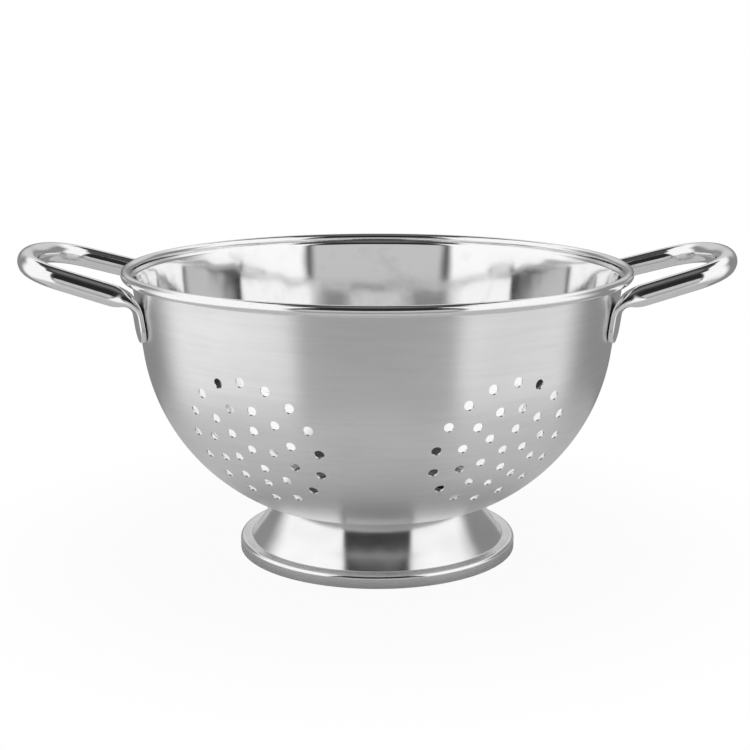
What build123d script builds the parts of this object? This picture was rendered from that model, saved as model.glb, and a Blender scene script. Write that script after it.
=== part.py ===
"""Footed colander: a perforated bowl with a rolled rim, two tube handles and a foot ring.

Millimetres, +Z up. The origin is the centre of the foot ring's lower edge, on the
surface that the colander stands on. X runs from the left handle to the right one.
Azimuths are in degrees from the front of the colander, which is its -Y side.
"""

import os
from math import asin, atan2, cos, degrees, radians, sin, tan

from build123d import *

os.makedirs("parts", exist_ok=True)

# Bowl and rolled rim
rim_diameter = 240.0
rim_height = 137.6
rim_overhang = 5.0
rim_drop = 5.2
bowl_sheet = 0.6
wall_lean = 7.7
straight_wall = 34.2
floor_radius = 55.7
floor_clearance = 27.3
floor_corner_radius = 15.0
ledge_bend_radius = 1.5

# Wire inside the rolled rim, and the slot where the curl of the sheet ends
wire_diameter = 3.4
wire_gap = 0.05
curl_slot_start = 4.0
curl_slot_turn = 30.0

# Drain holes: one middle hole with rings round it, the same in every cluster
hole_diameter = 4.4
ring_radii = (10.9, 20.3, 31.5)
ring_counts = (5, 11, 16)
ring_phases = (-2.9, 9.8, -1.7)
cluster_spread = 31.6
cluster_rise = 42.9
punch_droop = 27.0

# Foot ring
foot_radius = 66.75
foot_sheet = 0.8
skirt_height = 6.3
skirt_edge_radius = 1.4
ledge_width = 5.6
ledge_dip = 1.2
ledge_fillet = 1.4
flare_step = 0.6
flare_height = 8.6
flare_radius = 7.0
neck_inset = 7.3
flange_width = 8.0
flange_bend_radius = 1.8

# Handles: a tapering loop of tube whose ends are pinched flat into tabs
tube_diameter = 10.0
tube_wall = 1.2
handle_reach = 48.5
tip_rise = 3.6
tip_radius = 58.0
tip_turn = 22.0
corner_radius = 22.5
tab_spacing = 82.0
tab_width = 14.0
tab_thickness = 2.6
tab_length = 18.4
tab_bend_drop = 11.8
tab_bend_radius = 9.0
pinch_lead = 6.0
pinch_steps = 6
tube_flat = 0.05

# Spot welds
seat_gap = 0.1
weld_diameter = 4.0
weld_depth = 0.3
tab_weld_count = 2
tab_weld_rise = 4.4
tab_weld_spacing = 5.2
foot_weld_count = 8
foot_weld_inset = 4.9

# One overrun for all cuts
cut_overrun = 10.0

# Rim: the bead's middle, and the corner where the wall bends out into the ledge
wire_radius = wire_diameter / 2
bead_bore = wire_radius + wire_gap
bead_radius = bead_bore + bowl_sheet
bead_middle = Vector(rim_diameter / 2 - bead_radius, rim_height - bead_radius)
wall_top = Vector(rim_diameter / 2 - rim_overhang, rim_height - rim_drop)
ledge_run = bead_middle - wall_top
slot_angle = 180 + degrees(atan2(ledge_run.Y, ledge_run.X)) + curl_slot_start
slot_reach = bead_radius + bowl_sheet

# Bowl: a straight leaning wall, a large knee and a small corner into the flat floor
lean = radians(wall_lean)
wall_slope = Vector(sin(lean), cos(lean))
wall_foot = wall_top - wall_slope * (straight_wall / cos(lean))
wall_normal = Vector(cos(lean), -sin(lean))
corner_middle = Vector(floor_radius, floor_clearance + floor_corner_radius)
corner_gap = wall_foot - corner_middle
knee_radius = (corner_gap.length**2 - floor_corner_radius**2) / (
    2 * (corner_gap.dot(wall_normal) - floor_corner_radius)
)
knee_middle = wall_foot - wall_normal * knee_radius
knee_to_corner = corner_middle - knee_middle
corner_turn = degrees(atan2(knee_to_corner.X, -knee_to_corner.Y))
knee_turn = 90 - wall_lean - corner_turn
knee_pull_share = tan(radians(knee_turn) / 4) * 4 / 3

# Ledge under the rim: its outward normal, and the step through the sheet at its bend
ledge_normal = Vector(ledge_run.Y, -ledge_run.X).normalized()
ledge_bend = (wall_normal + ledge_normal) / (1 + wall_normal.dot(ledge_normal))


def wall_radius(height):
    """Outer radius of the bowl at a height, on the knee or on the straight wall."""
    if height > wall_foot.Y:
        return wall_top.X - (wall_top.Y - height) * tan(lean)
    drop = knee_middle.Y - height
    return knee_middle.X + (knee_radius**2 - drop**2) ** 0.5


# Middle of a side cluster, on the bowl's outer skin
cluster_height = floor_clearance + cluster_rise
cluster_radius = wall_radius(cluster_height)

# Foot ring: its cone ends under the flat floor
neck_radius = floor_radius - neck_inset
flange_height = floor_clearance - seat_gap
flare_foot = foot_radius - ledge_width

# Tab of the right handle on its +Y side: it lies against the wall, along its slope
tab_bend_height = rim_height - tab_bend_drop
tab_seat = seat_gap + tab_thickness / 2
tab_radius = wall_radius(tab_bend_height) + tab_seat / cos(lean)
tab_angle = degrees(asin(tab_spacing / 2 / tab_radius))
tab_out = Vector(1, 0, 0).rotate(Axis.Z, tab_angle)
tab_down = -(tab_out * sin(lean) + Vector(0, 0, cos(lean)))
tab_normal = tab_out * cos(lean) - Vector(0, 0, sin(lean))
tab_bend = tab_out * tab_radius + Vector(0, 0, tab_bend_height)
tab_end = tab_bend + tab_down * (tab_length / cos(lean))

# Loop of the handle, flat in a plane that rises outwards from the two tab bends
loop_root = Vector(tab_bend.X, 0, tab_bend_height)
loop_tip = Vector(
    rim_diameter / 2 + handle_reach - tube_diameter / 2, 0, rim_height + tip_rise
)
loop_plane = Plane(
    origin=loop_root, x_dir=loop_tip - loop_root, z_dir=(loop_tip - loop_root).cross(Vector(0, 1, 0))
)
loop_length = (loop_tip - loop_root).length
swing = radians(tip_turn)
corner_in_loop = Vector(
    loop_length - tip_radius + (tip_radius - corner_radius) * cos(swing),
    (tip_radius - corner_radius) * sin(swing),
)
bar_to_corner = corner_in_loop - Vector(0, tab_spacing / 2)
bar_taper = -degrees(
    atan2(bar_to_corner.Y, bar_to_corner.X) + asin(corner_radius / bar_to_corner.length)
)
bar_out = loop_plane.x_dir.rotate(Axis((0, 0, 0), loop_plane.z_dir), -bar_taper)
bend_turn = (-tab_down).get_angle(bar_out)
bend_plane = Plane(origin=tab_bend, x_dir=bar_out, z_dir=bar_out.cross(-tab_down))
bend_reach = tab_bend_radius * tan(radians(bend_turn) / 2)
pinch_start = tab_bend + bar_out * (bend_reach + pinch_lead)
pinch_end = tab_bend + tab_down * bend_reach


def pinched_share(share):
    """How flat the tube is along the pinch: it starts and ends gently."""
    return share**2 * (3 - 2 * share)


def turned_share(share):
    """How far the tube's width has turned to the tab's: most of it at the start."""
    return 1 - (1 - share) ** 3


def tube_plane(place, along, share):
    """Plane across the tube, with its X axis along the tube's width."""
    across = Vector(0, 1, 0).rotate(Axis.Z, tab_angle * turned_share(share))
    up = along.cross(across).normalized()
    return Plane(origin=place, x_dir=up.cross(along), z_dir=along)


with BuildPart() as rim_wire:
    with BuildSketch(Plane.XZ):
        with Locations(bead_middle):
            Circle(wire_radius)
    revolve(axis=Axis.Z)

with BuildPart() as right_handle_welds:
    for step in range(tab_weld_count):
        rise = tab_weld_rise + tab_weld_spacing * step
        weld_seat = tab_end - tab_down * rise - tab_normal * (tab_thickness + seat_gap) / 2
        with BuildSketch(Plane(origin=weld_seat, z_dir=tab_normal)):
            Circle(weld_diameter / 2)
        extrude(amount=weld_depth + seat_gap / 2, both=True)
    mirror(about=Plane.XZ)

with BuildPart() as left_handle_welds:
    mirror(right_handle_welds.part, about=Plane.YZ)

with BuildPart() as foot_welds:
    with BuildSketch(Plane.XY.offset(floor_clearance - seat_gap / 2)):
        with PolarLocations(neck_radius - foot_weld_inset, foot_weld_count):
            Circle(weld_diameter / 2)
    extrude(amount=weld_depth + seat_gap / 2, both=True)

with BuildPart() as bowl:
    with BuildSketch(Plane.XZ):
        with BuildLine():
            skins = []
            for depth in (0, bowl_sheet):
                level = floor_clearance + depth
                floor = Line((0, level), (floor_radius, level))
                corner = JernArc(floor @ 1, floor % 1, floor_corner_radius - depth, corner_turn)
                foot = wall_foot - wall_normal * depth
                pull = knee_pull_share * (knee_radius - depth)
                Bezier(corner @ 1, corner @ 1 + corner % 1 * pull, foot - wall_slope * pull, foot)
                ledge_end = bead_middle - ledge_normal * depth
                wall_end = wall_top - ledge_bend * depth
                wall = FilletPolyline(foot, wall_end, ledge_end, radius=ledge_bend_radius + depth)
                skins.append((floor @ 0, wall @ 1))
            for outer_end, inner_end in zip(*skins):
                Line(outer_end, inner_end)
        make_face()
        with Locations(bead_middle):
            Circle(bead_radius)
            Circle(bead_bore, mode=Mode.SUBTRACT)
        with BuildLine():
            slot_start = PolarLine(bead_middle, slot_reach, slot_angle)
            slot_end = PolarLine(bead_middle, slot_reach, slot_angle + curl_slot_turn)
            Line(slot_start @ 1, slot_end @ 1)
        make_face(mode=Mode.SUBTRACT)
    revolve(axis=Axis.Z)
    punches = [Plane.XY.offset(floor_clearance)]
    for azimuth in (
        cluster_spread, 180 - cluster_spread, 180 + cluster_spread, 360 - cluster_spread
    ):
        outward = Vector(0, -1, 0).rotate(Axis.Z, azimuth)
        across = Vector(1, 0, 0).rotate(Axis.Z, azimuth)
        punches.append(
            Plane(
                origin=outward * cluster_radius + Vector(0, 0, cluster_height),
                x_dir=across,
                z_dir=outward.rotate(Axis((0, 0, 0), across), punch_droop),
            )
        )
    for punch in punches:
        with BuildSketch(punch):
            Circle(hole_diameter / 2)
            for radius, count, phase in zip(ring_radii, ring_counts, ring_phases):
                with PolarLocations(radius, count, start_angle=phase):
                    Circle(hole_diameter / 2)
        extrude(amount=cut_overrun, both=True, mode=Mode.SUBTRACT)
    add(foot_welds.part, mode=Mode.SUBTRACT)
    add(right_handle_welds.part, mode=Mode.SUBTRACT)
    add(left_handle_welds.part, mode=Mode.SUBTRACT)

with BuildPart() as foot_ring:
    with BuildSketch(Plane.XZ):
        with BuildLine():
            FilletPolyline(
                (foot_radius, 0),
                (foot_radius, skirt_height),
                (flare_foot, skirt_height - ledge_dip),
                (flare_foot - flare_step, flare_height),
                (neck_radius, flange_height),
                (neck_radius - flange_width, flange_height),
                radius=(skirt_edge_radius, ledge_fillet, flare_radius, flange_bend_radius),
            )
            offset(amount=foot_sheet, side=Side.LEFT)
        make_face()
    revolve(axis=Axis.Z)
    add(foot_welds.part, mode=Mode.SUBTRACT)

with BuildLine() as half_loop:
    tip = JernArc((loop_length, 0), (0, 1), tip_radius, tip_turn)
    bow = JernArc(tip @ 1, tip % 1, corner_radius, 90 + bar_taper - tip_turn)
    Line(bow @ 1, loop_plane.to_local_coords(pinch_start))
loop_path = loop_plane * half_loop.wire()

with BuildLine() as bend:
    lead = Line((bend_reach + pinch_lead, 0), (bend_reach, 0))
    JernArc(lead @ 1, lead % 1, tab_bend_radius, bend_turn)
bend_path = bend_plane * bend.wire()

with BuildPart() as right_handle:
    for shrink, mode in ((0, Mode.ADD), (2 * tube_wall, Mode.SUBTRACT)):
        with BuildSketch(tube_plane(pinch_start, -bar_out, 0)):
            SlotOverall(tube_diameter + tube_flat - shrink, tube_diameter - shrink)
        sweep(path=loop_path, mode=mode)
        for step in range(pinch_steps + 1):
            share = step / pinch_steps
            pinched = pinched_share(share)
            width = tube_diameter + tube_flat + (tab_width - tube_diameter) * pinched
            height = tube_diameter + (tab_thickness - tube_diameter) * pinched
            with BuildSketch(tube_plane(bend_path @ share, bend_path % share, share)):
                SlotOverall(width - shrink, height - shrink)
        loft(mode=mode)
        with BuildSketch(tube_plane(pinch_end, tab_down, 1)):
            SlotOverall(tab_width + tube_flat - shrink, tab_thickness - shrink)
        extrude(amount=(tab_end - pinch_end).length, mode=mode)
    round_middle = tab_end - tab_down * tab_width / 2
    with BuildSketch(Plane(origin=round_middle, x_dir=tab_down, z_dir=tab_normal)):
        Rectangle(tab_width, tab_width + cut_overrun, align=(Align.MIN, Align.CENTER))
        Circle(tab_width / 2, mode=Mode.SUBTRACT)
    extrude(amount=tab_thickness, both=True, mode=Mode.SUBTRACT)
    mirror(about=Plane.XZ)
    add(right_handle_welds.part, mode=Mode.SUBTRACT)

with BuildPart() as left_handle:
    mirror(right_handle.part, about=Plane.YZ)

bowl.part.label = "bowl"
export_step(bowl.part, "parts/bowl.step")
rim_wire.part.label = "rim_wire"
export_step(rim_wire.part, "parts/rim_wire.step")
foot_ring.part.label = "foot_ring"
export_step(foot_ring.part, "parts/foot_ring.step")
left_handle.part.label = "left_handle"
export_step(left_handle.part, "parts/left_handle.step")
right_handle.part.label = "right_handle"
export_step(right_handle.part, "parts/right_handle.step")
left_handle_welds.part.label = "left_handle_welds"
export_step(left_handle_welds.part, "parts/left_handle_welds.step")
right_handle_welds.part.label = "right_handle_welds"
export_step(right_handle_welds.part, "parts/right_handle_welds.step")
foot_welds.part.label = "foot_welds"
export_step(foot_welds.part, "parts/foot_welds.step")
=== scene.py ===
"""Looks of the footed colander: polished and brushed steel in a pale studio.

Metres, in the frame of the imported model: X runs from the left handle to the right one, Y
from the front to the back and Z up. The origin is on the floor, under the foot's middle.
"""

from math import acos, asin, atan2, cos, pi, radians, sin, sqrt, tan

import bmesh
import bpy
import numpy as np
from bpy.props import (
    FloatProperty,
    FloatVectorProperty,
    IntProperty,
    IntVectorProperty,
    PointerProperty,
)
from mathutils import Color, Matrix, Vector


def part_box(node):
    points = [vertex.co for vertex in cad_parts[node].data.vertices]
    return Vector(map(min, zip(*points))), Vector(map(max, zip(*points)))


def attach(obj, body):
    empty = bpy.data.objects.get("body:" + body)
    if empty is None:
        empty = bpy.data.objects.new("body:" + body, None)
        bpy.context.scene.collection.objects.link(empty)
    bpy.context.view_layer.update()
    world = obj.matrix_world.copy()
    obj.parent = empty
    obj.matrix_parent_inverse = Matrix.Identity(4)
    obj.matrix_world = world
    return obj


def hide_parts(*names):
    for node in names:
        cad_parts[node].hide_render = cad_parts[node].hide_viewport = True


bl_info = {
    "name": "Footed colander",
    "version": (1, 0, 0),
    "blender": (4, 5, 0),
    "location": "View3D > Sidebar > Colander",
    "description": "Builds the pieces, finishes and studio of a footed colander",
    "category": "Object",
}

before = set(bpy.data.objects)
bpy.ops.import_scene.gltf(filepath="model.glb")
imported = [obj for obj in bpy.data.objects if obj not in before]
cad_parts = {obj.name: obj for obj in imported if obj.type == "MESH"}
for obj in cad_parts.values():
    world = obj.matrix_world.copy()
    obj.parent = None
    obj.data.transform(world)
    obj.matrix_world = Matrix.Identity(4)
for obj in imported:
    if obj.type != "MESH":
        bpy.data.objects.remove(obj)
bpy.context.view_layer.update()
MM = 0.001
BOWL_LOW, BOWL_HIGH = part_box("bowl")
FOOT_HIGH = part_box("foot_ring")[1]
HANDLE_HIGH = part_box("right_handle")[1]
PHOTO_WIDTH = 750

# Steps that the round shapes are drawn with
TURN_STEPS = 288
ARC_STEPS = 12
FILLET_STEPS = 10
KNEE_STEPS = 48
WALL_STEPS = 12
CURL_STEPS = 56
CURL_BORE_STEPS = 40
TIP_STEPS = 16
CORNER_STEPS = 40
BAR_STEPS = 6
PINCH_STEPS = 24
TAB_STEPS = 4
TAB_END_STEPS = 12
FLOOR_STEPS = 128

# Limits and settings of the mesh work
SAME_SPOT = MM / 1000
SEAM = MM / 100
PUNCH_DEPTH = 20 * MM
SHARP_IN_SHEET = radians(40)
SHARP_IN_TUBE = radians(50)
SPOTS_AT_ONCE = 4000
TAB_END_THINNING = 0.35

# A face of the bowl that leans further than this from its outline is the wall of a hole
LEAST_FACING = cos(radians(35))

# A quarter of a turn lays the brush lines round the Z axis
BRUSHED_ROUND = 0.25

# Noise runs from 0 to 1 to both sides of this
NOISE_MIDDLE = 0.5


def length(name, text, default):
    """A size that the user may change, in metres."""
    return FloatProperty(name=name, description=text, default=default, unit="LENGTH", precision=5)


def turn(name, text, degrees):
    """An angle that the user may change."""
    return FloatProperty(name=name, description=text, default=radians(degrees), subtype="ANGLE")


def span(name, text, start, full):
    """Two angles that the user may change: where a field sets in and where it is full."""
    return FloatVectorProperty(
        name=name,
        description=text,
        default=(radians(start), radians(full)),
        size=2,
        unit="ROTATION",
    )


def share(name, text, default):
    """A value from 0 to 1 that the user may change."""
    return FloatProperty(name=name, description=text, default=default, min=0, max=1)


def tint(name, text, default):
    """A colour that the user may change."""
    return FloatVectorProperty(
        name=name, description=text, default=default, size=3, min=0, max=1, subtype="COLOR"
    )


class BowlSizes(bpy.types.PropertyGroup):
    """Sizes of the bowl and its rolled rim."""

    sheet: length("Sheet", "Thickness of the bowl's sheet", 0.6 * MM)
    overhang: length("Overhang", "How far the rim stands out past the wall", 5.0 * MM)
    rim_drop: length("Rim drop", "Height of the rim over the top of the wall", 5.2 * MM)
    bead: length("Bead", "Thickness of the rolled rim", 4.7 * MM)
    lean: turn("Lean", "How far the wall leans outwards", 7.7)
    straight_wall: length("Straight wall", "Height of the straight part of the wall", 34.2 * MM)
    floor_radius: length("Floor radius", "Radius of the flat floor", 55.7 * MM)
    corner_radius: length("Corner radius", "Radius of the corner at the floor", 15.0 * MM)
    ledge_radius: length("Ledge radius", "Radius of the bend under the rim", 1.5 * MM)
    slot_start: turn("Slot start", "Angle from the ledge to the slot under the rim", 4)
    slot_turn: turn("Slot turn", "Angle of the slot under the rim", 30)


class HoleSizes(bpy.types.PropertyGroup):
    """Sizes of the drain holes."""

    diameter: length("Diameter", "Diameter of a drain hole", 4.4 * MM)
    spread: turn("Spread", "Angle from the front or back to the middle of a cluster", 31.6)
    height: length("Height", "Height of the middle of a cluster", 70.2 * MM)
    droop: turn("Droop", "How far the punch points below the level", 27)
    ring_radii: FloatVectorProperty(
        name="Ring radii",
        description="Radii of the rings of holes round the middle one",
        default=(10.9 * MM, 20.3 * MM, 31.5 * MM),
        unit="LENGTH",
        precision=5,
    )
    ring_counts: IntVectorProperty(
        name="Ring counts", description="Holes in each ring", default=(5, 11, 16), min=1
    )
    ring_starts: FloatVectorProperty(
        name="Ring starts",
        description="Angle of the first hole of each ring",
        default=(radians(-2.9), radians(9.8), radians(-1.7)),
        unit="ROTATION",
    )
    facets: IntProperty(name="Facets", description="Sides of a hole", default=40, min=8)


class FootSizes(bpy.types.PropertyGroup):
    """Sizes of the foot ring."""

    sheet: length("Sheet", "Thickness of the foot's sheet", 0.8 * MM)
    skirt: length("Skirt", "Height of the skirt", 6.3 * MM)
    skirt_radius: length("Skirt edge radius", "Radius of the skirt's upper edge", 1.8 * MM)
    ledge: length("Ledge", "Width of the ledge on top of the skirt", 5.6 * MM)
    ledge_dip: length("Ledge dip", "How far the ledge falls inwards", 0.7 * MM)
    ledge_radius: length("Ledge radius", "Radius of the bend into the cone", 1.2 * MM)
    waist: length("Waist", "How far the corner of the cone's hollow side draws in", 1.2 * MM)
    waist_radius: length("Waist radius", "Radius of the cone's hollow side", 55.0 * MM)
    neck: length("Neck", "Radius of the cone at the bowl", 48.4 * MM)
    flange: length("Flange", "Width of the flange under the bowl", 8.0 * MM)
    flange_radius: length("Flange radius", "Radius of the bend into the flange", 1.8 * MM)


class HandleSizes(bpy.types.PropertyGroup):
    """Sizes of the tube handles."""

    tube: length("Tube", "Diameter of the tube", 10.0 * MM)
    tip_radius: length("Tip radius", "Radius of the loop's outer bend", 58.0 * MM)
    tip_turn: turn("Tip turn", "Half of the angle of the loop's outer bend", 22)
    corner_radius: length("Corner radius", "Radius of the loop's corners", 22.5 * MM)
    tab_spacing: length("Tab spacing", "Distance between the two bends into the tabs", 82.0 * MM)
    tab_width: length("Tab width", "Width of a flattened tab", 14.0 * MM)
    tab_thickness: length("Tab thickness", "Thickness of a flattened tab", 2.6 * MM)
    tab_length: length("Tab length", "Height from the bend to the end of the tab", 18.4 * MM)
    bend_height: length("Bend height", "Height of the bend into the tab", 125.8 * MM)
    bend_radius: length("Bend radius", "Radius of the bend into the tab", 9.0 * MM)
    pinch_lead: length("Pinch lead", "Length of tube that the pinch takes", 6.0 * MM)
    seat_gap: length("Seat gap", "Air between the tab and the wall", 0.1 * MM)
    facets: IntProperty(name="Facets", description="Sides of the tube", default=56, min=8)


class SteelLooks(bpy.types.PropertyGroup):
    """Colours and gloss of the steel."""

    outside: tint("Outside", "Colour of the bowl's brushed outside", (0.92, 0.92, 0.925))
    outside_dull: tint("Dull outside", "Colour of its duller patches", (0.84, 0.84, 0.845))
    outside_blur: share("Outside blur", "Roughness of the bowl's outside", 0.32)
    outside_comb: share("Outside comb", "How much the brushing stretches reflections", 0.88)
    inside: tint("Inside", "Colour of the bowl's polished inside", (0.95, 0.95, 0.95))
    inside_dull: tint("Dull inside", "Colour of its water marks", (0.88, 0.88, 0.89))
    inside_blur: share("Inside blur", "Roughness of the bowl's inside", 0.07)
    inside_comb: share("Inside comb", "How much the spinning stretches reflections", 0.5)
    wave_start: length("Wave start", "Radius where the inside's waves set in", 45 * MM)
    wave_full: length("Wave full", "Radius where the inside's waves are full", 75 * MM)
    tube: tint("Tube", "Colour of the polished handles and rim", (0.93, 0.93, 0.93))
    tube_dull: tint("Dull tube", "Colour of fine scratches on them", (0.80, 0.80, 0.81))
    tube_blur: share("Tube blur", "Roughness of the handles and rim", 0.09)
    cone: tint("Cone", "Colour of the foot's polished cone", (0.95, 0.95, 0.955))
    cone_dull: tint("Dull cone", "Colour of its duller patches", (0.86, 0.86, 0.87))
    cone_blur: share("Cone blur", "Roughness of the foot's cone", 0.14)
    cone_comb: share("Cone comb", "How much the polishing stretches the cone's reflections", 0.4)
    skirt: tint("Skirt", "Colour of the foot's satin skirt and ledge", (0.93, 0.93, 0.935))
    skirt_dull: tint("Dull skirt", "Colour of the lines in them", (0.84, 0.84, 0.85))
    skirt_blur: share("Skirt blur", "Roughness of the foot's satin skirt and ledge", 0.27)
    skirt_comb: share("Skirt comb", "How much the brushing stretches reflections on them", 0.5)
    cut: tint("Cut", "Colour of the punched edges of the holes", (0.80, 0.80, 0.80))
    cut_blur: share("Cut blur", "Roughness of the punched edges", 0.24)
    wire: tint("Wire", "Colour of the drawn wire in the rim", (0.62, 0.62, 0.61))
    wire_blur: share("Wire blur", "Roughness of the wire", 0.35)
    weld: tint("Weld", "Colour of the spot welds", (0.58, 0.57, 0.55))
    weld_blur: share("Weld blur", "Roughness of the spot welds", 0.42)


class StudioSizes(bpy.types.PropertyGroup):
    """Paper, floor and camera of the studio."""

    paper: tint("Paper", "Colour of the white paper all round", (1.0, 1.0, 1.0))
    sides: span("Sides", "Turns from the front where the sides set in", 60, 85)
    sides_end: span("Sides end", "Turns from the front where the sides end", 140, 110)
    back: span("Back", "Turns from the front where the back sets in", 140, 160)
    edge: turn("Edge", "How softly the paper ends at the gap, the screen and the roof", 3)
    gap: tint("Gap", "Colour of the dark gap behind the camera", (0.02, 0.02, 0.02))
    gap_half: turn("Gap half", "Half the width of the gap behind the camera", 38)
    gap_foot: span("Gap foot", "Heights over the level where the gap sets in", -12, -4)
    roof_room: tint("Roof room", "Colour of the dark room over the paper", (0.05, 0.05, 0.05))
    zenith: tint("Zenith", "Colour of that room straight above", (0.16, 0.16, 0.16))
    zenith_rise: span("Zenith rise", "Heights where that colour sets in", 70, 80)
    roof: turn("Roof", "Height over the level where the paper ends in a dark opening", 58)
    roof_aside: turn("Roof aside", "The same height at the sides", 68)
    roof_drop: turn("Roof drop", "How much lower it is behind the object", 16)
    screen: tint("Screen", "Colour of the grey screen in front", (0.55, 0.55, 0.55))
    screen_low: tint("Low screen", "Colour of the screen's lower part", (0.33, 0.33, 0.33))
    screen_fall: span("Screen fall", "Heights where that lower colour sets in", -5, -20)
    screen_half: turn("Screen half", "Half the width of the screen", 34)
    screen_widening: span("Screen widening", "Heights where it widens to the gap", -2, -10)
    screen_top: turn("Screen top", "Height of the screen's upper edge over the level", 14.5)
    low: tint("Low", "Colour of the table far below the level", (0.55, 0.55, 0.55))
    low_fall: span("Low fall", "Heights where the table sets in", -20, -35)
    shade: tint("Shade", "Colour of the paper's shaded parts", (0.26, 0.26, 0.26))
    right_depth: share("Right depth", "Depth of the shade low on the right", 0.3)
    right_turn: span("Right turn", "Turns from the front where that shade sets in", 38, 60)
    right_fall: span("Right fall", "Heights where that shade sets in", 0, -25)
    rear_turn: span("Rear turn", "Turns from the front where the rear shade sets in", 104, 130)
    rear_fall: span("Rear fall", "Heights where the rear shade sets in", 40, 25)
    rear_lead: turn("Rear lead", "How much sooner the rear shade sets in on the right", 14)
    rear_lead_turn: span("Rear lead turn", "Turns from the front where that lead sets in", -20, 20)
    rear_fade: share("Rear fade", "How much of the rear shade goes higher up at the back", 0.5)
    rear_fade_rise: span("Rear fade rise", "Heights where that fading sets in", 5, 15)
    floor: tint("Floor", "Colour of the floor", (0.42, 0.42, 0.42))
    floor_blur: share("Floor blur", "Roughness of the floor", 0.8)
    fibre_depth: share("Fibre depth", "How much the floor's fibres darken it", 0.06)
    floor_reach: length("Floor reach", "Radius of the floor", 0.26)
    floor_in_metal: share("Floor in metal", "How much of the floor's own white metal shows", 0.36)
    # Painted shadow: inside these radii the floor's glow that metal sees is held back
    painted_shadow_start: length("Shadow start", "Radius where metal starts to show the floor", 0.055)
    painted_shadow_end: length("Shadow end", "Radius where metal shows its full share of it", 0.115)
    fade_start: length("Fade start", "Radius where the floor starts to fade into the paper", 0.08)
    fade_end: length("Fade end", "Radius where the floor has faded into the paper", 0.24)
    glow: share("Glow", "How much of the floor's white under the object is its own", 0.95)
    away: length("Away", "Distance of the camera in front of the object's middle", 0.700)
    height: length("Height", "Height of the camera", 0.23698)
    tilt: turn("Tilt", "How far the camera looks down", 12.35)
    lens: FloatProperty(name="Lens", description="Focal length in millimetres", default=71.59)
    shift: FloatProperty(
        name="Shift",
        description="Sideways shift, as a share of the frame's width",
        default=-2.3 / PHOTO_WIDTH,
        precision=5,
    )


class Wire:
    """An output of a node. Sums and products of it add Math nodes."""

    def __init__(self, socket):
        self.socket = socket

    def node(self, kind, settings, sockets, output=0):
        """Adds a node to the same tree: its settings first, then its values and links."""
        tree = self.socket.id_data
        added = tree.nodes.new("ShaderNode" + kind)
        for name, value in settings.items():
            setattr(added, name, value)
        feed(added, sockets)
        return Wire(added.outputs[output])

    def maths(self, operation, first, second):
        """Adds a Math node."""
        return self.node("Math", {"operation": operation}, {0: first, 1: second})

    def __add__(self, other):
        return self.maths("ADD", self, other)

    def __radd__(self, other):
        return self.maths("ADD", other, self)

    def __sub__(self, other):
        return self.maths("SUBTRACT", self, other)

    def __rsub__(self, other):
        return self.maths("SUBTRACT", other, self)

    def __mul__(self, other):
        return self.maths("MULTIPLY", self, other)

    def __rmul__(self, other):
        return self.maths("MULTIPLY", other, self)

    def __truediv__(self, other):
        return self.maths("DIVIDE", self, other)

    def __pow__(self, other):
        return self.maths("POWER", self, other)


def feed(node, sockets):
    """Gives a node's sockets their values or links."""
    for name, value in sockets.items():
        if isinstance(value, Wire):
            node.id_data.links.new(value.socket, node.inputs[name])
        elif isinstance(value, Color):
            node.inputs[name].default_value = (*value, 1)
        else:
            node.inputs[name].default_value = value


def eased(value, start, end):
    """A mask that goes from 0 to 1 as the value goes from start to end."""
    stops = {"Value": value, "From Min": start, "From Max": end}
    return value.node("MapRange", {"interpolation_type": "SMOOTHSTEP"}, stops)


def blended(mask, colour, other):
    """One colour where the mask is 0, the other where it is 1."""
    return mask.node("Mix", {"data_type": "RGBA"}, {0: mask, 6: colour, 7: other}, 2)


def place_on(start):
    """Three wires: where a point of the piece lies."""
    spot = start.node("TexCoord", {}, {}, "Object")
    return [start.node("SeparateXYZ", {}, {"Vector": spot}, axis) for axis in "XYZ"]


def radius_at(place):
    """A wire: how far a point of the piece lies from the Z axis."""
    x, y, _ = place
    return (x * x + y * y) ** 0.5


def noise_at(x, y, z, detail):
    """Noise with spots about one unit wide."""
    at = x.node("CombineXYZ", {}, {"X": x, "Y": y, "Z": z})
    return x.node("TexNoise", {}, {"Vector": at, "Scale": 1, "Detail": detail})


def spots_at(place, across, along, up, detail=2.0):
    """Noise with so many spots to the metre along each axis."""
    x, y, z = place
    return noise_at(x * across, y * along, z * up, detail)


def spun(place, slant, round_count, across, detail=2.0):
    """Noise drawn out round the Z axis, as a brush leaves it on a spinning sheet.

    round_count sets how many streaks go round the axis, and across how many go to a metre
    of the height plus slant times the radius.
    """
    x, y, z = place
    radius = radius_at(place)
    travel = (z + radius * slant) * across
    return noise_at(x / radius * round_count, y / radius * round_count, travel, detail)


def swing(noise, amount):
    """A change up and down that follows the noise."""
    return amount * (noise - NOISE_MIDDLE)


def relief(height, depth):
    """The normal of a surface with a relief of so many metres."""
    return height.node("Bump", {}, {"Height": height, "Strength": 1, "Distance": depth})


def steel(name, comb=0.0):
    """A new metal material, its shader and the wire that its nodes start from."""
    material = bpy.data.materials.new(name)
    material.use_nodes = True
    shader = material.node_tree.nodes["Principled BSDF"]
    feed(shader, {"Metallic": 1, "Anisotropic": comb, "Anisotropic Rotation": BRUSHED_ROUND})
    return material, shader, place_on(Wire(shader.outputs[0]))


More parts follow.
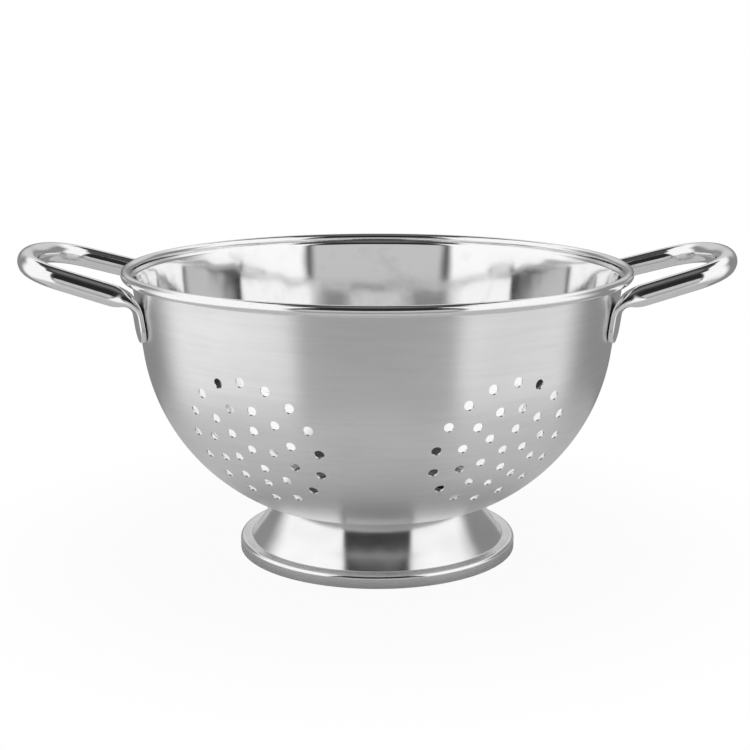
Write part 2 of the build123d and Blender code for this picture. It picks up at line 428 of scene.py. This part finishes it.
def brushed_outside(looks):
    """Satin steel brushed round the bowl: fine lines, broader bands and cloudy patches."""
    material, shader, place = steel("brushed outside", looks.outside_comb)
    lines = spun(place, slant=1, round_count=6, across=2600, detail=3)
    bands = spun(place, slant=1, round_count=3, across=420)
    clouds = spots_at(place, across=17, along=17, up=26, detail=3)
    dullness = 0.55 * clouds + 0.3 * bands + 0.15 * lines
    feed(
        shader,
        {
            "Base Color": blended(eased(dullness, 0.36, 0.66), looks.outside, looks.outside_dull),
            "Roughness": looks.outside_blur + swing(clouds, 0.12) + swing(lines, 0.14),
            "Normal": relief(lines + 0.6 * bands, 0.005 * MM),
        },
    )
    return material


def polished_inside(looks):
    """Mirror-polished steel with slow waves of the spun sheet, polishing lines and dried drops."""
    material, shader, place = steel("polished inside", looks.inside_comb)
    waves = spun(place, slant=1, round_count=5, across=22, detail=1)
    waves = waves * eased(radius_at(place), looks.wave_start, looks.wave_full)
    lines = spun(place, slant=1, round_count=7, across=1800)
    marks = spots_at(place, across=60, along=60, up=60, detail=3)
    feed(
        shader,
        {
            "Base Color": blended(eased(marks, 0.55, 0.75), looks.inside, looks.inside_dull),
            "Roughness": looks.inside_blur + swing(lines, 0.05) + 0.06 * eased(marks, 0.5, 0.8),
            "Normal": relief(waves + 0.004 * lines, 0.35 * MM),
        },
    )
    return material


def polished_tube(looks, name):
    """Mirror-polished steel with faint waves and fine scratches."""
    material, shader, place = steel(name)
    waves = spots_at(place, across=70, along=70, up=70, detail=1)
    scratches = spots_at(place, across=260, along=900, up=3000)
    feed(
        shader,
        {
            "Base Color": blended(eased(scratches, 0.55, 0.8), looks.tube, looks.tube_dull),
            "Roughness": looks.tube_blur + 0.05 * eased(scratches, 0.45, 0.8),
            "Normal": relief(waves + 0.01 * scratches, 0.12 * MM),
        },
    )
    return material


def polished_cone(looks):
    """The foot's polished cone, with polishing lines round it and soft waves."""
    material, shader, place = steel("polished cone", looks.cone_comb)
    waves = spun(place, slant=-1, round_count=4, across=30, detail=1)
    lines = spun(place, slant=-1, round_count=4, across=1300)
    clouds = spots_at(place, across=30, along=30, up=40)
    feed(
        shader,
        {
            "Base Color": blended(eased(clouds, 0.4, 0.75), looks.cone, looks.cone_dull),
            "Roughness": looks.cone_blur + swing(lines, 0.05) + swing(clouds, 0.06),
            "Normal": relief(waves + 0.004 * lines, 0.2 * MM),
        },
    )
    return material


def satin_skirt(looks):
    """The foot's skirt and ledge, brushed round the Z axis."""
    material, shader, place = steel("satin skirt", looks.skirt_comb)
    lines = spun(place, slant=0, round_count=4, across=1400)
    clouds = spots_at(place, across=30, along=30, up=60)
    feed(
        shader,
        {
            "Base Color": blended(eased(lines, 0.3, 0.8), looks.skirt, looks.skirt_dull),
            "Roughness": looks.skirt_blur + swing(lines, 0.06) + swing(clouds, 0.06),
            "Normal": relief(lines, 0.004 * MM),
        },
    )
    return material


def cut_edge(looks):
    """Punched edge of a hole: bright, with fine drag marks of the punch."""
    material, shader, place = steel("cut edge")
    drag = spots_at(place, across=2500, along=2500, up=500)
    feed(
        shader,
        {
            "Base Color": blended(eased(drag, 0.3, 0.7), looks.cut, looks.outside_dull),
            "Roughness": looks.cut_blur + swing(drag, 0.14),
            "Normal": relief(drag, 0.02 * MM),
        },
    )
    return material


def drawn_wire(looks):
    """Drawn wire: duller, with long lines along it."""
    material, shader, place = steel("drawn wire")
    lines = spun(place, slant=0, round_count=14, across=2400)
    feed(
        shader,
        {
            "Base Color": blended(eased(lines, 0.3, 0.7), looks.wire, looks.weld),
            "Roughness": looks.wire_blur + swing(lines, 0.2),
            "Normal": relief(lines, 0.03 * MM),
        },
    )
    return material


def spot_weld(looks):
    """Spot weld: grey and finely pitted."""
    material, shader, place = steel("spot weld")
    pits = spots_at(place, across=1400, along=1400, up=1400, detail=3)
    stains = spots_at(place, across=300, along=300, up=300)
    feed(
        shader,
        {
            "Base Color": blended(eased(stains, 0.35, 0.7), looks.weld, looks.wire),
            "Roughness": looks.weld_blur + swing(pits, 0.25),
            "Normal": relief(pits, 0.05 * MM),
        },
    )
    return material


def ray_mask(start, kind):
    """1 for rays of one kind and 0 for all others."""
    return start.node("LightPath", {}, {}, kind)


def paper_world(sizes):
    """White paper all round, with darker fields that only metal and light see.

    The fields are a gap behind the camera with a grey screen low in it, a dark room
    overhead, a table below, and shade low on the right and at the rear.
    """
    world = bpy.data.worlds.new("studio paper")
    world.use_nodes = True
    shader = world.node_tree.nodes["Background"]
    start = Wire(shader.outputs[0])
    toward = start.node("TexCoord", {}, {}, "Generated")
    x, y, z = [start.node("SeparateXYZ", {}, {"Vector": toward}, axis) for axis in "XYZ"]
    round_from_front = x.maths("ARCTAN2", x, 0 - y)
    aside = x.maths("ABSOLUTE", round_from_front, 0)
    climb = x.maths("ARCSINE", z, 0)
    back = eased(aside, *sizes.back)

    gap = eased(aside, sizes.gap_half + sizes.edge, sizes.gap_half - sizes.edge)
    gap = gap * eased(climb, *sizes.gap_foot)

    sideways = eased(aside, *sizes.sides) * eased(aside, *sizes.sides_end)
    roof_start = sizes.roof + (sizes.roof_aside - sizes.roof) * sideways - sizes.roof_drop * back
    roof = eased(climb, roof_start - sizes.edge, roof_start + sizes.edge)
    roof_colour = blended(eased(climb, *sizes.zenith_rise), sizes.roof_room, sizes.zenith)

    widening = eased(climb, *sizes.screen_widening)
    screen_side = sizes.screen_half + (sizes.gap_half - sizes.screen_half) * widening
    screen = eased(aside, screen_side + sizes.edge, screen_side - sizes.edge)
    top_edge = sizes.edge / 2
    screen = screen * eased(climb, sizes.screen_top + top_edge, sizes.screen_top - top_edge)
    screen_colour = blended(eased(climb, *sizes.screen_fall), sizes.screen, sizes.screen_low)

    low_right = sizes.right_depth * eased(round_from_front, *sizes.right_turn)
    low_right = low_right * eased(climb, *sizes.right_fall)
    lead = sizes.rear_lead * eased(round_from_front, *sizes.rear_lead_turn)
    rear = eased(aside + lead, *sizes.rear_turn) * eased(climb, *sizes.rear_fall)
    rear = rear * (1 - sizes.rear_fade * back * eased(climb, *sizes.rear_fade_rise))
    shade = low_right.maths("MAXIMUM", low_right, rear)

    paper = blended(eased(climb, *sizes.low_fall), sizes.paper, sizes.low)
    paper = blended(shade, paper, sizes.shade)
    paper = blended(gap, paper, sizes.gap)
    paper = blended(roof, paper, roof_colour)
    paper = blended(screen, paper, screen_colour)
    seen = ray_mask(start, "Is Camera Ray") + ray_mask(start, "Is Transmission Ray")
    feed(shader, {"Color": blended(seen, paper, sizes.paper)})
    return world


def floor_mesh(sizes):
    """A round floor."""
    mesh = bpy.data.meshes.new("floor")
    shape = bmesh.new()
    bmesh.ops.create_circle(shape, cap_ends=True, segments=FLOOR_STEPS, radius=sizes.floor_reach)
    shape.to_mesh(mesh)
    shape.free()
    return mesh


def paper_floor(sizes):
    """Pale paper that fades into the white paper behind it and keeps the object's shadow, with a
    painted shadow under the object in the glow that metal sees.
    """
    material = bpy.data.materials.new("floor paper")
    material.use_nodes = True
    material.cycles.emission_sampling = "NONE"
    shader = material.node_tree.nodes["Principled BSDF"]
    start = Wire(shader.outputs[0])
    place = place_on(start)
    radius = radius_at(place)
    fibres = spots_at(place, across=400, along=400, up=400)
    paper = blended(sizes.fibre_depth * fibres, sizes.floor, sizes.shade)
    feed(shader, {"Roughness": sizes.floor_blur, "Base Color": paper})
    fade = eased(radius, sizes.fade_start, sizes.fade_end)
    seen = ray_mask(start, "Is Camera Ray") + ray_mask(start, "Is Transmission Ray")
    # Painted shadow: the floor's glow that metal sees is none under the object and full from the
    # shadow's end outwards
    in_metal = sizes.floor_in_metal * eased(radius, sizes.painted_shadow_start, sizes.painted_shadow_end)
    own = seen * (sizes.glow + (1 - sizes.glow) * fade)
    own = own + ray_mask(start, "Is Glossy Ray") * in_metal
    glow = start.node("Emission", {}, {"Color": sizes.paper})
    both = start.node("MixShader", {}, {0: own, 1: start, 2: glow})
    feed(material.node_tree.nodes["Material Output"], {"Surface": both})
    return material


def unit(vector):
    """The vector at length 1."""
    return vector / np.linalg.norm(vector)


def unit_rows(rows):
    """Each row at length 1."""
    return rows / np.linalg.norm(rows, axis=1)[:, None]


def polar(angle):
    """The direction at an angle from the first axis."""
    return np.array((cos(angle), sin(angle)))


def arc(middle, radius, start, sweep, steps=ARC_STEPS):
    """Points of an arc that begins at the angle start and turns by sweep."""
    return [middle + radius * polar(start + sweep * step / steps) for step in range(steps + 1)]


def fillet(before, corner, after, radius):
    """Points of the arc that rounds a corner between two straight runs."""
    back, on = unit(before - corner), unit(after - corner)
    half = acos(np.clip(back @ on, -1, 1)) / 2
    middle = corner + unit(back + on) * radius / sin(half)
    start = corner + back * radius / tan(half) - middle
    end = corner + on * radius / tan(half) - middle
    sweep = atan2(start[0] * end[1] - start[1] * end[0], start @ end)
    return arc(middle, radius, atan2(start[1], start[0]), sweep, FILLET_STEPS)


def rounded(corners, radii):
    """A run of straight lines with each inner corner rounded to its radius."""
    corners = [np.array(corner) for corner in corners]
    run = [corners[0]]
    for before, corner, after, radius in zip(corners, corners[1:], corners[2:], radii):
        run += fillet(before, corner, after, radius)
    return run + [corners[-1]]


def side_step(run, distance):
    """The run moved to its left by a distance."""
    points = np.array(run)
    along = np.diff(points, axis=0)
    along /= np.linalg.norm(along, axis=1)[:, None]
    left = np.column_stack((-along[:, 1], along[:, 0]))
    joined = np.vstack((left[:1], left[:-1] + left[1:], left[-1:]))
    joined /= np.linalg.norm(joined, axis=1)[:, None]
    lean = np.hstack((1, np.einsum("ij,ij->i", joined[1:-1], left[1:]), 1))
    return list(points + joined * (distance / lean)[:, None])


def finished(name, mesh, *nodes):
    """Puts a mesh in the scene as a piece of the root body that stands for CAD nodes."""
    piece = bpy.data.objects.new(name, mesh)
    bpy.context.scene.collection.objects.link(piece)
    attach(piece, "root")
    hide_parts(*nodes)
    return piece


def turned(name, outline):
    """A closed outline of radius and height turned round the Z axis."""
    mesh = bpy.data.meshes.new(name)
    shape = bmesh.new()
    points = [shape.verts.new((radius, 0, height)) for radius, height in outline]
    edges = [shape.edges.new(pair) for pair in zip(points, points[1:] + points[:1])]
    bmesh.ops.spin(
        shape,
        geom=points + edges,
        axis=(0, 0, 1),
        cent=(0, 0, 0),
        angle=2 * pi,
        steps=TURN_STEPS,
        use_merge=True,
    )
    bmesh.ops.remove_doubles(shape, verts=shape.verts, dist=SAME_SPOT)
    bmesh.ops.recalc_face_normals(shape, faces=shape.faces)
    shape.to_mesh(mesh)
    shape.free()
    mesh.shade_smooth()
    mesh.set_sharp_from_angle(angle=SHARP_IN_SHEET)
    return mesh


def wall_shape(sizes):
    """Where the bowl's wall, knee and corner meet, in radius and height."""
    rim = np.array((BOWL_HIGH.x, BOWL_HIGH.z))
    wall_top = rim - (sizes.overhang, sizes.rim_drop)
    slope = np.array((sin(sizes.lean), cos(sizes.lean)))
    wall_foot = wall_top - slope * sizes.straight_wall / cos(sizes.lean)
    outward = np.array((cos(sizes.lean), -sin(sizes.lean)))
    corner_middle = np.array((sizes.floor_radius, BOWL_LOW.z + sizes.corner_radius))
    gap = wall_foot - corner_middle
    knee_radius = (gap @ gap - sizes.corner_radius**2) / (2 * (gap @ outward - sizes.corner_radius))
    knee_middle = wall_foot - outward * knee_radius
    return wall_top, wall_foot, corner_middle, knee_middle, knee_radius


def wall_radius(sizes, height):
    """Outer radius of the bowl at a height."""
    wall_top, wall_foot, _, knee_middle, knee_radius = wall_shape(sizes)
    if height > wall_foot[1]:
        return wall_top[0] - (wall_top[1] - height) * tan(sizes.lean)
    return knee_middle[0] + sqrt(knee_radius**2 - (knee_middle[1] - height) ** 2)


def bowl_outline(sizes):
    """The closed outline of the bowl's sheet, and where on it the ledge and the inside start."""
    wall_top, _, corner_middle, knee_middle, knee_radius = wall_shape(sizes)
    bead_radius = sizes.bead / 2
    bead_middle = np.array((BOWL_HIGH.x, BOWL_HIGH.z)) - bead_radius
    to_corner = corner_middle - knee_middle
    corner_turn = atan2(to_corner[0], -to_corner[1])
    skin = [np.array((0, BOWL_LOW.z))]
    skin += arc(corner_middle, sizes.corner_radius, -pi / 2, corner_turn)
    knee_turn = pi / 2 - sizes.lean - corner_turn
    skin += arc(knee_middle, knee_radius, corner_turn - pi / 2, knee_turn, KNEE_STEPS)[1:]
    slope_start = skin[-1]
    slope = wall_top - slope_start
    skin += [slope_start + slope * step / WALL_STEPS for step in range(1, WALL_STEPS)]
    ledge_start = len(skin)
    skin += fillet(slope_start, wall_top, bead_middle, sizes.ledge_radius)
    inner = side_step(skin, sizes.sheet)
    ledge_out = unit(bead_middle - wall_top)
    ledge_angle = atan2(ledge_out[1], ledge_out[0])
    half_sheet = asin(sizes.sheet / bead_radius)
    slot_end = ledge_angle + pi + sizes.slot_start + sizes.slot_turn
    curl_turn = ledge_angle + 3 * pi - half_sheet - slot_end
    curl = arc(bead_middle, bead_radius, slot_end, curl_turn, CURL_STEPS)
    bore = bead_radius - sizes.sheet
    back_turn = slot_end - ledge_angle - 3 * pi
    back = arc(bead_middle, bore, ledge_angle + 3 * pi, back_turn, CURL_BORE_STEPS)
    reach = ledge_angle + pi + sizes.slot_start
    lip = [bead_middle + bead_radius * polar(reach)]
    rim = skin + lip + back + curl
    return rim + inner[::-1], ledge_start, len(rim)


def hole_places(sizes):
    """Middle and direction of each drain hole."""
    spots = [np.zeros(2)]
    for radius, count, start in zip(sizes.ring_radii, sizes.ring_counts, sizes.ring_starts):
        spots += [radius * polar(start + 2 * pi * step / count) for step in range(count)]
    bowl = bpy.context.scene.colander_bowl
    planes = [Matrix.Translation((0, 0, BOWL_LOW.z))]
    out = wall_radius(bowl, sizes.height)
    for azimuth in (sizes.spread, pi - sizes.spread, pi + sizes.spread, -sizes.spread):
        tilt = Matrix.Rotation(pi / 2 + sizes.droop, 4, "X")
        place = Matrix.Translation((0, -out, sizes.height)) @ tilt
        planes.append(Matrix.Rotation(azimuth, 4, "Z") @ place)
    return [plane @ Matrix.Translation((*spot, 0)) for plane in planes for spot in spots]


def punched(mesh, places, radius, facets):
    """The mesh with a round hole at each place."""
    punches = bpy.data.meshes.new("punches")
    shape = bmesh.new()
    for place in places:
        bmesh.ops.create_cone(
            shape,
            cap_ends=True,
            segments=facets,
            radius1=radius,
            radius2=radius,
            depth=PUNCH_DEPTH,
            matrix=place,
        )
    shape.to_mesh(punches)
    shape.free()
    blank = bpy.data.objects.new("blank", mesh)
    cutter = bpy.data.objects.new("cutter", punches)
    for thing in (blank, cutter):
        bpy.context.scene.collection.objects.link(thing)
    cut = blank.modifiers.new("holes", "BOOLEAN")
    cut.operation, cut.solver, cut.object = "DIFFERENCE", "MANIFOLD", cutter
    bpy.context.view_layer.update()
    drilled = blank.evaluated_get(bpy.context.evaluated_depsgraph_get())
    result = bpy.data.meshes.new_from_object(drilled)
    bpy.data.objects.remove(blank)
    bpy.data.objects.remove(cutter)
    return result


def nearest_on(outline, spots):
    """Which side of the outline each spot is nearest to, and how far along it."""
    points = np.array(outline)
    along = np.roll(points, -1, axis=0) - points
    flat = np.column_stack((np.hypot(spots[:, 0], spots[:, 1]), spots[:, 2]))
    sides, shares = [], []
    for chunk in np.array_split(flat, len(flat) // SPOTS_AT_ONCE + 1):
        offset = chunk[:, None] - points
        step = np.clip((offset * along).sum(2) / (along**2).sum(1), 0, 1)
        best = np.linalg.norm(offset - step[..., None] * along, axis=2).argmin(1)
        sides.append(best)
        shares.append(step[np.arange(len(chunk)), best])
    return np.hstack(sides), np.hstack(shares)


def turned_normals(outline, spots):
    """The outward normal of the turned outline at each spot, and the side it lies on."""
    points = np.array(outline)
    along = unit_rows(np.roll(points, -1, axis=0) - points)
    facing = np.column_stack((along[:, 1], -along[:, 0]))
    facing[-1] = 0  # the closing side lies on the axis
    smooth = unit_rows(facing + np.roll(facing, 1, axis=0))
    sides, shares = nearest_on(outline, spots)
    shares = shares[:, None]
    mixed = smooth[sides] * (1 - shares) + np.roll(smooth, -1, axis=0)[sides] * shares
    out = spots[:, :2] / np.maximum(np.hypot(spots[:, 0], spots[:, 1]), SAME_SPOT)[:, None]
    return unit_rows(np.column_stack((out * mixed[:, :1], mixed[:, 1]))), sides


def read_rows(items, name, width=3):
    """One value of all the vertices or faces of a mesh, as rows of an array."""
    rows = np.zeros(len(items) * width)
    items.foreach_get(name, rows)
    return rows.reshape(-1, width)


def shade_as_turned(mesh, outline, finishes):
    """Gives each face of the punched bowl its true normals and one of its finishes.

    finishes are pairs of an outline index and the slot that starts there. The walls of the
    holes, which face away from the outline's own direction, get the slot after the last one.
    """
    normals, _ = turned_normals(outline, read_rows(mesh.vertices, "co"))
    corners = read_rows(mesh.loops, "vertex_index", 1)[:, 0].astype(int)
    sizes = read_rows(mesh.polygons, "loop_total", 1)[:, 0].astype(int)
    faces = read_rows(mesh.polygons, "normal")
    flat = np.repeat(faces, sizes, axis=0)
    wanted = normals[corners]
    steep = (wanted * flat).sum(1) < LEAST_FACING
    wanted[steep] = flat[steep]
    mesh.normals_split_custom_set(wanted)
    facing, sides = turned_normals(outline, read_rows(mesh.polygons, "center"))
    starts, slots = zip(*finishes)
    worn = np.array(slots)[np.searchsorted(starts, sides, side="right") - 1]
    worn[(facing * faces).sum(1) < LEAST_FACING] = max(slots) + 1
    mesh.polygons.foreach_set("material_index", worn.astype(np.int32))


def smoothed(value):
    """A change from 0 to 1 that starts and ends gently."""
    return value * value * (3 - 2 * value)


def ring_round(middle, along, up, width, height, facets):
    """Points round a tube that is flattened to a width and a height."""
    across = np.cross(up, along)
    flat = (width - height) / 2
    spots = [polar(2 * pi * (step + 0.5) / facets) for step in range(facets)]
    return [
        middle + across * (height / 2 * x + flat * np.sign(x)) + up * (height / 2 * y)
        for x, y in spots
    ]


def half_handle(sizes, bowl):
    """Rings of the right handle's tube, from the middle of its loop to the tab on +Y."""
    lean, tube, facets = bowl.lean, sizes.tube, sizes.facets
    reach = wall_radius(bowl, sizes.bend_height)
    reach += (sizes.seat_gap + sizes.tab_thickness / 2) / cos(lean)
    tab_angle = asin(sizes.tab_spacing / 2 / reach)
    out = np.array((cos(tab_angle), sin(tab_angle), 0))
    rise = np.array((0, 0, 1))
    down = -out * sin(lean) - rise * cos(lean)
    bend = out * reach + rise * sizes.bend_height
    root = np.array((bend[0], 0, bend[2]))
    tip = np.array((HANDLE_HIGH.x - tube / 2, 0, HANDLE_HIGH.z - tube / 2))
    outward, sideways = unit(tip - root), np.array((0, 1, 0))
    loop_up = np.cross(sideways, outward)

    def placed(spot):
        return root + outward * spot[0] + sideways * spot[1]

    tip_middle = np.array((np.linalg.norm(tip - root) - sizes.tip_radius, 0))
    corner = tip_middle + (sizes.tip_radius - sizes.corner_radius) * polar(sizes.tip_turn)
    to_corner = corner - (0, sizes.tab_spacing / 2)
    corner_angle = asin(sizes.corner_radius / np.linalg.norm(to_corner))
    taper = -atan2(to_corner[1], to_corner[0]) - corner_angle
    corner_turn = pi / 2 - taper - sizes.tip_turn
    run = arc(tip_middle, sizes.tip_radius, 0, sizes.tip_turn, TIP_STEPS)
    run += arc(corner, sizes.corner_radius, sizes.tip_turn, corner_turn, CORNER_STEPS)[1:]
    bar = placed(polar(-taper)) - root
    turned_by = acos(-down @ bar)
    bend_reach = sizes.bend_radius * tan(turned_by / 2)
    pinch_start = bend + bar * (bend_reach + sizes.pinch_lead)
    places = [placed(spot) for spot in run]
    bar_start = places[-1]
    bar_run = pinch_start - bar_start
    places += [bar_start + bar_run * step / BAR_STEPS for step in range(1, BAR_STEPS)]
    rings = []
    for index, place in enumerate(places):
        before, after = places[max(index - 1, 0)], places[min(index + 1, len(places) - 1)]
        along = unit(after - before) if index else sideways
        rings.append(ring_round(place, along, loop_up, tube, tube, facets))
    bend_length = sizes.bend_radius * turned_by
    across_bend = unit(down + bar * (-down @ bar))
    for step in range(PINCH_STEPS + 1):
        share_along = step / PINCH_STEPS
        travel = share_along * (sizes.pinch_lead + bend_length)
        swing = max(travel - sizes.pinch_lead, 0) / sizes.bend_radius
        place = pinch_start - bar * min(travel, sizes.pinch_lead)
        place = place + sizes.bend_radius * (across_bend * (1 - cos(swing)) - bar * sin(swing))
        along = across_bend * sin(swing) - bar * cos(swing)
        twist = tab_angle * (1 - (1 - share_along) ** 3)
        up = unit(np.cross(along, (-sin(twist), cos(twist), 0)))
        flatness = smoothed(share_along)
        width = tube + (sizes.tab_width - tube) * flatness
        height = tube + (sizes.tab_thickness - tube) * flatness
        rings.append(ring_round(place, along, up, width, height, facets))
    tab_start = bend + down * bend_reach
    tab_end = bend + down * sizes.tab_length / cos(lean)
    up = unit(np.cross(down, (-sin(tab_angle), cos(tab_angle), 0)))
    radius = sizes.tab_width / 2
    straight = np.linalg.norm(tab_end - tab_start) - radius
    for step in range(1, TAB_STEPS + 1):
        place = tab_start + down * straight * step / TAB_STEPS
        rings.append(ring_round(place, down, up, sizes.tab_width, sizes.tab_thickness, facets))
    for step in range(1, TAB_END_STEPS + 1):
        angle = pi / 2 * step / TAB_END_STEPS
        place = tab_start + down * (straight + radius * sin(angle))
        last_quarter = max(step / TAB_END_STEPS * 4 - 3, 0)
        thickness = sizes.tab_thickness * (1 - TAB_END_THINNING * smoothed(last_quarter))
        width = max(2 * radius * cos(angle), thickness)
        rings.append(ring_round(place, down, up, width, thickness, facets))
    return rings


def handle_mesh(name, rings, side):
    """The whole handle from the rings of its half; side is 1 on the right and -1 on the left."""
    shape = bmesh.new()
    made = [[shape.verts.new((x * side, y, z)) for x, y, z in ring] for ring in rings]
    for ring, after in zip(made, made[1:]):
        for index in range(len(ring)):
            shape.faces.new((ring[index - 1], ring[index], after[index], after[index - 1]))
    shape.faces.new(made[-1])
    half = shape.verts[:] + shape.edges[:] + shape.faces[:]
    bmesh.ops.mirror(shape, geom=half, axis="Y", merge_dist=SEAM)
    bmesh.ops.recalc_face_normals(shape, faces=shape.faces)
    mesh = bpy.data.meshes.new(name)
    shape.to_mesh(mesh)
    shape.free()
    mesh.shade_smooth()
    mesh.set_sharp_from_angle(angle=SHARP_IN_TUBE)
    return mesh


def foot_outline(sizes):
    """The closed outline of the foot's sheet."""
    top = FOOT_HIGH.z
    cone_foot = np.array((FOOT_HIGH.x - sizes.ledge, sizes.skirt - sizes.ledge_dip))
    cone_head = np.array((sizes.neck, top))
    rise = unit(cone_head - cone_foot)
    waist = (cone_foot + cone_head) / 2 - sizes.waist * np.array((rise[1], -rise[0]))
    skin = rounded(
        (
            (FOOT_HIGH.x, 0),
            (FOOT_HIGH.x, sizes.skirt),
            cone_foot,
            waist,
            cone_head,
            (sizes.neck - sizes.flange, top),
        ),
        (sizes.skirt_radius, sizes.ledge_radius, sizes.waist_radius, sizes.flange_radius),
    )
    return skin + side_step(skin, sizes.sheet)[::-1]


class BuildBowl(bpy.types.Operator):
    """Build the bowl with its rolled rim and drain holes."""

    bl_idname = "colander.bowl"
    bl_label = "Bowl"

    def execute(self, context):
        scene = context.scene
        outline, ledge_start, inside_start = bowl_outline(scene.colander_bowl)
        mesh = turned("bowl_steel", outline)
        holes = scene.colander_holes
        mesh = punched(mesh, hole_places(holes), holes.diameter / 2, holes.facets)
        mesh.materials.clear()
        looks = scene.colander_steel
        for material in (
            brushed_outside(looks),
            polished_tube(looks, "polished rim"),
            polished_inside(looks),
            cut_edge(looks),
        ):
            mesh.materials.append(material)
        shade_as_turned(mesh, outline, ((0, 0), (ledge_start, 1), (inside_start, 2)))
        finished("bowl_steel", mesh, "bowl")
        return {"FINISHED"}


class BuildFoot(bpy.types.Operator):
    """Build the foot ring."""

    bl_idname = "colander.foot"
    bl_label = "Foot ring"

    def execute(self, context):
        sizes, looks = context.scene.colander_foot, context.scene.colander_steel
        mesh = turned("foot_steel", foot_outline(sizes))
        satin, edge = satin_skirt(looks), polished_tube(looks, "polished edge")
        for material in (satin, edge, polished_cone(looks)):
            mesh.materials.append(material)
        spots = read_rows(mesh.polygons, "center")
        radii = np.hypot(spots[:, 0], spots[:, 1])
        on_skirt = radii > FOOT_HIGH.x - sizes.ledge
        on_edge = radii > FOOT_HIGH.x - sizes.skirt_radius
        on_edge &= spots[:, 2] > sizes.skirt - sizes.skirt_radius
        worn = np.where(on_edge, 1, np.where(on_skirt, 0, 2))
        mesh.polygons.foreach_set("material_index", worn.astype(np.int32))
        finished("foot_steel", mesh, "foot_ring")
        return {"FINISHED"}


class BuildHandles(bpy.types.Operator):
    """Build the two tube handles."""

    bl_idname = "colander.handles"
    bl_label = "Handles"

    def execute(self, context):
        rings = half_handle(context.scene.colander_handles, context.scene.colander_bowl)
        material = polished_tube(context.scene.colander_steel, "polished tube")
        for name, side in (("right_handle", 1), ("left_handle", -1)):
            mesh = handle_mesh(name + "_tube", rings, side)
            mesh.materials.append(material)
            finished(name + "_tube", mesh, name)
        return {"FINISHED"}


class FinishWireAndWelds(bpy.types.Operator):
    """Give the wire in the rim and the spot welds their finish."""

    bl_idname = "colander.wire_and_welds"
    bl_label = "Wire and welds"

    def execute(self, context):
        looks = context.scene.colander_steel
        weld = spot_weld(looks)
        worn = {
            "rim_wire": drawn_wire(looks),
            "foot_welds": weld,
            "left_handle_welds": weld,
            "right_handle_welds": weld,
        }
        for name, material in worn.items():
            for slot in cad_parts[name].material_slots:
                slot.material = material
        return {"FINISHED"}


class BuildStudio(bpy.types.Operator):
    """Build the floor, the paper all round and the camera."""

    bl_idname = "colander.studio"
    bl_label = "Studio"

    def execute(self, context):
        scene, sizes = context.scene, context.scene.colander_studio
        scene.view_settings.view_transform = "Standard"
        scene.world = paper_world(sizes)
        floor = bpy.data.objects.new("floor", floor_mesh(sizes))
        scene.collection.objects.link(floor)
        floor.data.materials.append(paper_floor(sizes))
        camera = bpy.data.cameras.new("camera")
        camera.lens = sizes.lens
        camera.shift_x = sizes.shift
        holder = bpy.data.objects.new("camera", camera)
        scene.collection.objects.link(holder)
        holder.location = (0, -sizes.away, sizes.height)
        holder.rotation_euler = (pi / 2 - sizes.tilt, 0, 0)
        scene.camera = holder
        return {"FINISHED"}


OPERATORS = (BuildBowl, BuildFoot, BuildHandles, FinishWireAndWelds, BuildStudio)
SETTINGS = {
    "colander_bowl": BowlSizes,
    "colander_holes": HoleSizes,
    "colander_foot": FootSizes,
    "colander_handles": HandleSizes,
    "colander_steel": SteelLooks,
    "colander_studio": StudioSizes,
}


class ColanderPanel(bpy.types.Panel):
    """Lists the pieces of the colander and their sizes."""

    bl_idname = "VIEW3D_PT_colander"
    bl_label = "Footed colander"
    bl_space_type = "VIEW_3D"
    bl_region_type = "UI"
    bl_category = "Colander"

    def draw(self, context):
        for operator in OPERATORS:
            self.layout.operator(operator.bl_idname)
        for name in SETTINGS:
            box = self.layout.box()
            settings = getattr(context.scene, name)
            for key in settings.__annotations__:
                box.prop(settings, key)


def register():
    for kind in (*SETTINGS.values(), *OPERATORS, ColanderPanel):
        bpy.utils.register_class(kind)
    for name, kind in SETTINGS.items():
        setattr(bpy.types.Scene, name, PointerProperty(type=kind))


def unregister():
    for name in SETTINGS:
        delattr(bpy.types.Scene, name)
    for kind in reversed((*SETTINGS.values(), *OPERATORS, ColanderPanel)):
        bpy.utils.unregister_class(kind)


def main():
    """Builds everything."""
    register()
    for operator in OPERATORS:
        group, name = operator.bl_idname.split(".")
        getattr(getattr(bpy.ops, group), name)()


if __name__ == "__main__":
    main()
